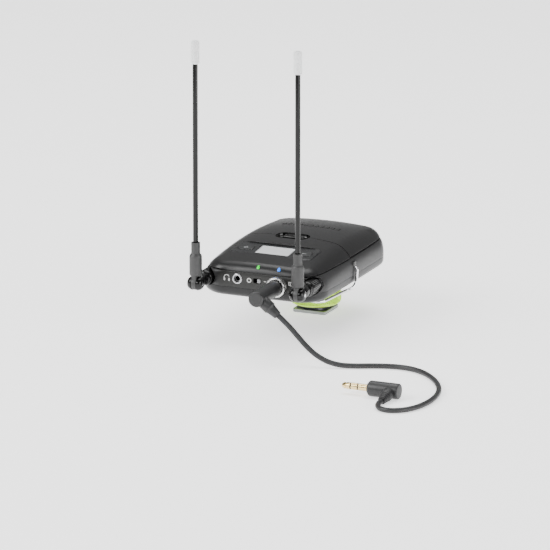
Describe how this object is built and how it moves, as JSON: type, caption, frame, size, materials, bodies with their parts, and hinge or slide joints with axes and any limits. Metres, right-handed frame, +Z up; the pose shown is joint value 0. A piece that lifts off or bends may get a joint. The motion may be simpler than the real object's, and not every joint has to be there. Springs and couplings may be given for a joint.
{
  "type": "bodypack wireless receiver",
  "caption": "Bodypack-size wireless receiver with folding whip antennas, a wire belt clip, a right-angle output lead and a thumb-wheel adapter for an accessory shoe.",
  "frame": {"origin": "centre of the underside of the shoe foot", "axes": "+Z up, -Y towards the jack panel, +X to the right seen from the jack panel's side looking along +Y"},
  "size_m": [0.1596, 0.1868, 0.1604],
  "materials": {
    "cover": "satin dark grey moulded plastic",
    "frame": "matt mid-grey moulded plastic",
    "panel": "glossy grey display panel",
    "lcd": "pale grey display glass",
    "green_lens": "lit green lens",
    "blue_lens": "lit blue lens",
    "board": "green circuit board",
    "tin": "tinned steel",
    "steel": "zinc-plated steel",
    "bright_metal": "nickel-plated metal",
    "gold": "gold-plated brass",
    "cell_wrap": "plain printed cell sleeve",
    "black_gloss": "glossy black moulded plastic",
    "black_matt": "matt black plastic",
    "sleeve_rubber": "grey-black rubber",
    "whip_coat": "glossy black coated spring wire",
    "tip_cap": "translucent white plastic",
    "lime": "lime green anodised look",
    "clip_wire": "bright bent steel wire",
    "foot_metal": "grey anodised aluminium",
    "cable": "dark grey cable sheath"
  },
  "bodies": {
    "housing": {"top_cover": "cover", "mid_frame": "frame", "bottom_shell": "cover", "door_hinge_pin": "steel", "housing_screws": "steel", "display_bezel": "panel", "lcd_module": "lcd", "green_led": "green_lens", "blue_led": "blue_lens", "main_board": "board", "board_screws": "steel", "rf_shield": "tin", "front_cell": "cell_wrap", "rear_cell": "cell_wrap", "left_contacts": "tin", "right_contacts": "tin", "headphone_jack": "black_matt", "headphone_bezel": "bright_metal", "power_switch_body": "black_matt", "output_jack": "bright_metal", "left_port": "gold", "right_port": "gold", "clip_bushes": "black_matt", "mount_plate": "cover", "mount_screws": "steel", "mount_riser": "cover", "mount_stud": "steel", "shoe_foot": "foot_metal"},
    "door": {"battery_door": "cover"},
    "latch": {"door_latch": "black_gloss"},
    "left_button": {"left_key": "panel"},
    "right_button": {"right_key": "panel"},
    "switch_slider": {"power_switch_knob": "frame"},
    "left_base": {"left_antenna_base": "black_gloss", "left_antenna_pin": "steel"},
    "right_base": {"right_antenna_base": "black_gloss", "right_antenna_pin": "steel"},
    "left_antenna": {"left_antenna_sleeve": "sleeve_rubber", "left_whip": "whip_coat", "left_whip_tip": "tip_cap"},
    "right_antenna": {"right_antenna_sleeve": "sleeve_rubber", "right_whip": "whip_coat", "right_whip_tip": "tip_cap"},
    "clip": {"belt_clip": "clip_wire"},
    "washer": {"clamp_washer": "black_matt"},
    "wheel": {"thumb_wheel": "lime"},
    "plug": {"plug_pin": "gold", "plug_barrel": "cable", "plug_strain_relief": "cable", "cord": "cable", "far_strain_relief": "cable", "far_plug_barrel": "cable", "far_plug_pin": "gold"},
    "lock_ring": {"locking_ring": "bright_metal"}
  },
  "joints": [
    {"name": "battery_door_hinge", "type": "hinge", "parent": "housing", "child": "door", "pos_m": [0, 0.0216, 0.0387], "axis": [-1, 0, 0], "range_deg": [0, 95]},
    {"name": "door_latch_slide", "type": "slide", "parent": "door", "child": "latch", "axis": [0, 1, 0], "range_m": [0, 0.0012], "stiffness_N_per_m": 400, "springref_m": -0.0005},
    {"name": "left_key_press", "type": "slide", "parent": "housing", "child": "left_button", "axis": [0, 0, -1], "range_m": [0, 0.00035], "stiffness_N_per_m": 900, "springref_m": -0.0003},
    {"name": "right_key_press", "type": "slide", "parent": "housing", "child": "right_button", "axis": [0, 0, -1], "range_m": [0, 0.00035], "stiffness_N_per_m": 900, "springref_m": -0.0003},
    {"name": "power_slide", "type": "slide", "parent": "housing", "child": "switch_slider", "axis": [-1, 0, 0], "range_m": [0, 0.002]},
    {"name": "left_antenna_swivel", "type": "hinge", "parent": "housing", "child": "left_base", "pos_m": [-0.0283, -0.082, 0.0333], "axis": [0, -1, 0], "range_deg": [-10, 90]},
    {"name": "left_antenna_elbow", "type": "hinge", "parent": "left_base", "child": "left_antenna", "pos_m": [-0.0283, -0.0887, 0.0333], "axis": [1, 0, 0], "range_deg": [0, 90]},
    {"name": "right_antenna_swivel", "type": "hinge", "parent": "housing", "child": "right_base", "pos_m": [0.0283, -0.082, 0.0333], "axis": [0, 1, 0], "range_deg": [-10, 90]},
    {"name": "right_antenna_elbow", "type": "hinge", "parent": "right_base", "child": "right_antenna", "pos_m": [0.0283, -0.0887, 0.0333], "axis": [1, 0, 0], "range_deg": [0, 90]},
    {"name": "belt_clip_swing", "type": "hinge", "parent": "housing", "child": "clip", "pos_m": [0, -0.0283, 0.0332], "axis": [1, 0, 0], "range_deg": [0, 40]},
    {"name": "washer_lift", "type": "slide", "parent": "housing", "child": "washer", "axis": [0, 0, 1], "range_m": [0, 0.0025]},
    {"name": "wheel_spin", "type": "hinge", "parent": "washer", "child": "wheel", "pos_m": [0, 0, 0.008], "axis": [0, 0, 1], "range_deg": [0, 700]},
    {"name": "plug_pull", "type": "slide", "parent": "housing", "child": "plug", "axis": [0, -1, 0], "range_m": [0, 0.018]},
    {"name": "locking_ring_spin", "type": "hinge", "parent": "plug", "child": "lock_ring", "pos_m": [0.012, -0.078, 0.033], "axis": [0, -1, 0], "continuous": true}
  ],
  "couplings": [
    {"joint": "washer_lift", "follows": "wheel_spin", "m_per_rad": 0.00020213}
  ]
}
